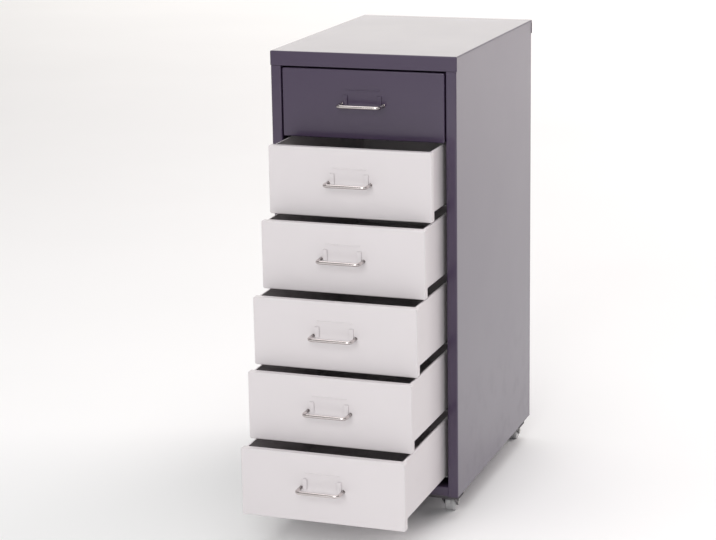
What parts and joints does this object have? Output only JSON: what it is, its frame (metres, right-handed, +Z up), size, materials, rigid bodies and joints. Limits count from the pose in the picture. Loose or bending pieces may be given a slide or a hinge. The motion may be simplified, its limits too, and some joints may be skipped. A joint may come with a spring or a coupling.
{
  "type": "metal drawer cabinet",
  "caption": "Narrow sheet-steel drawer cabinet on small swivel casters, with wire pulls and pressed label holders, its drawers open in a cascade.",
  "frame": {"origin": "on the floor, under the middle of the box that holds the cabinet with its drawers open as in the picture", "axes": "+Z up, the drawers open towards -Y, +X to the right of someone facing the drawers"},
  "size_m": [0.28, 0.629, 0.69],
  "materials": {
    "casing_paint": "satin dark purple-grey powder coat",
    "drawer_paint": "satin off-white powder coat",
    "chrome_wire": "bright chromed wire",
    "runner_steel": "plain galvanised sheet",
    "caster_steel": "dark grey painted steel",
    "plated_steel": "zinc-plated steel",
    "caster_wheel": "glossy grey plastic"
  },
  "bodies": {
    "casing": {"side_panel_right": "casing_paint", "side_panel_left": "casing_paint", "top_cover": "casing_paint", "back_panel": "casing_paint", "back_panel_screws": "plated_steel", "bottom_pan": "casing_paint", "front_rail": "casing_paint", "caster_bar_front": "caster_steel", "caster_bar_rear": "caster_steel", "runner_1_left": "runner_steel", "runner_1_right": "runner_steel", "runner_2_left": "runner_steel", "runner_2_right": "runner_steel", "runner_3_left": "runner_steel", "runner_3_right": "runner_steel", "runner_4_left": "runner_steel", "runner_4_right": "runner_steel", "runner_5_left": "runner_steel", "runner_5_right": "runner_steel", "runner_6_left": "runner_steel", "runner_6_right": "runner_steel"},
    "drawer_1": {"drawer_1_front": "casing_paint", "drawer_1_tray": "casing_paint", "drawer_1_back": "casing_paint", "drawer_1_handle": "chrome_wire"},
    "drawer_2": {"drawer_2_front": "drawer_paint", "drawer_2_tray": "drawer_paint", "drawer_2_back": "drawer_paint", "drawer_2_handle": "chrome_wire"},
    "drawer_3": {"drawer_3_front": "drawer_paint", "drawer_3_tray": "drawer_paint", "drawer_3_back": "drawer_paint", "drawer_3_handle": "chrome_wire"},
    "drawer_4": {"drawer_4_front": "drawer_paint", "drawer_4_tray": "drawer_paint", "drawer_4_back": "drawer_paint", "drawer_4_handle": "chrome_wire"},
    "drawer_5": {"drawer_5_front": "drawer_paint", "drawer_5_tray": "drawer_paint", "drawer_5_back": "drawer_paint", "drawer_5_handle": "chrome_wire"},
    "drawer_6": {"drawer_6_front": "drawer_paint", "drawer_6_tray": "drawer_paint", "drawer_6_back": "drawer_paint", "drawer_6_handle": "chrome_wire"},
    "caster_front_left_swivel": {"caster_front_left_fork": "caster_steel", "caster_front_left_axle": "plated_steel"},
    "caster_front_left_roller": {"caster_front_left_wheel": "caster_wheel"},
    "caster_front_right_swivel": {"caster_front_right_fork": "caster_steel", "caster_front_right_axle": "plated_steel"},
    "caster_front_right_roller": {"caster_front_right_wheel": "caster_wheel"},
    "caster_rear_left_swivel": {"caster_rear_left_fork": "caster_steel", "caster_rear_left_axle": "plated_steel"},
    "caster_rear_left_roller": {"caster_rear_left_wheel": "caster_wheel"},
    "caster_rear_right_swivel": {"caster_rear_right_fork": "caster_steel", "caster_rear_right_axle": "plated_steel"},
    "caster_rear_right_roller": {"caster_rear_right_wheel": "caster_wheel"}
  },
  "joints": [
    {"name": "drawer_1_slide", "type": "slide", "parent": "casing", "child": "drawer_1", "axis": [0, -1, 0], "range_m": [0, 0.3]},
    {"name": "drawer_2_slide", "type": "slide", "parent": "casing", "child": "drawer_2", "axis": [0, -1, 0], "range_m": [-0.0605, 0.2395]},
    {"name": "drawer_3_slide", "type": "slide", "parent": "casing", "child": "drawer_3", "axis": [0, -1, 0], "range_m": [-0.0947, 0.2053]},
    {"name": "drawer_4_slide", "type": "slide", "parent": "casing", "child": "drawer_4", "axis": [0, -1, 0], "range_m": [-0.1329, 0.1671]},
    {"name": "drawer_5_slide", "type": "slide", "parent": "casing", "child": "drawer_5", "axis": [0, -1, 0], "range_m": [-0.1599, 0.1401]},
    {"name": "drawer_6_slide", "type": "slide", "parent": "casing", "child": "drawer_6", "axis": [0, -1, 0], "range_m": [-0.194, 0.106]},
    {"name": "caster_front_left_swivel", "type": "hinge", "parent": "casing", "child": "caster_front_left_swivel", "pos_m": [-0.115, -0.06475, 0.0287], "axis": [0, 0, 1], "continuous": true},
    {"name": "caster_front_left_roll", "type": "hinge", "parent": "caster_front_left_swivel", "child": "caster_front_left_roller", "pos_m": [-0.11847, -0.04505, 0.013], "axis": [0.9848, 0.1736, 0], "continuous": true},
    {"name": "caster_front_right_swivel", "type": "hinge", "parent": "casing", "child": "caster_front_right_swivel", "pos_m": [0.115, -0.06475, 0.0287], "axis": [0, 0, 1], "continuous": true},
    {"name": "caster_front_right_roll", "type": "hinge", "parent": "caster_front_right_swivel", "child": "caster_front_right_roller", "pos_m": [0.11395, -0.04478, 0.013], "axis": [0.9986, 0.0523, 0], "continuous": true},
    {"name": "caster_rear_left_swivel", "type": "hinge", "parent": "casing", "child": "caster_rear_left_swivel", "pos_m": [-0.115, 0.28125, 0.0287], "axis": [0, 0, 1], "continuous": true},
    {"name": "caster_rear_left_roll", "type": "hinge", "parent": "caster_rear_left_swivel", "child": "caster_rear_left_roller", "pos_m": [-0.11222, 0.30106, 0.013], "axis": [0.9903, -0.1392, 0], "continuous": true},
    {"name": "caster_rear_right_swivel", "type": "hinge", "parent": "casing", "child": "caster_rear_right_swivel", "pos_m": [0.115, 0.28125, 0.0287], "axis": [0, 0, 1], "continuous": true},
    {"name": "caster_rear_right_roll", "type": "hinge", "parent": "caster_rear_right_swivel", "child": "caster_rear_right_roller", "pos_m": [0.1143, 0.30124, 0.013], "axis": [0.9994, 0.0349, 0], "continuous": true}
  ]
}
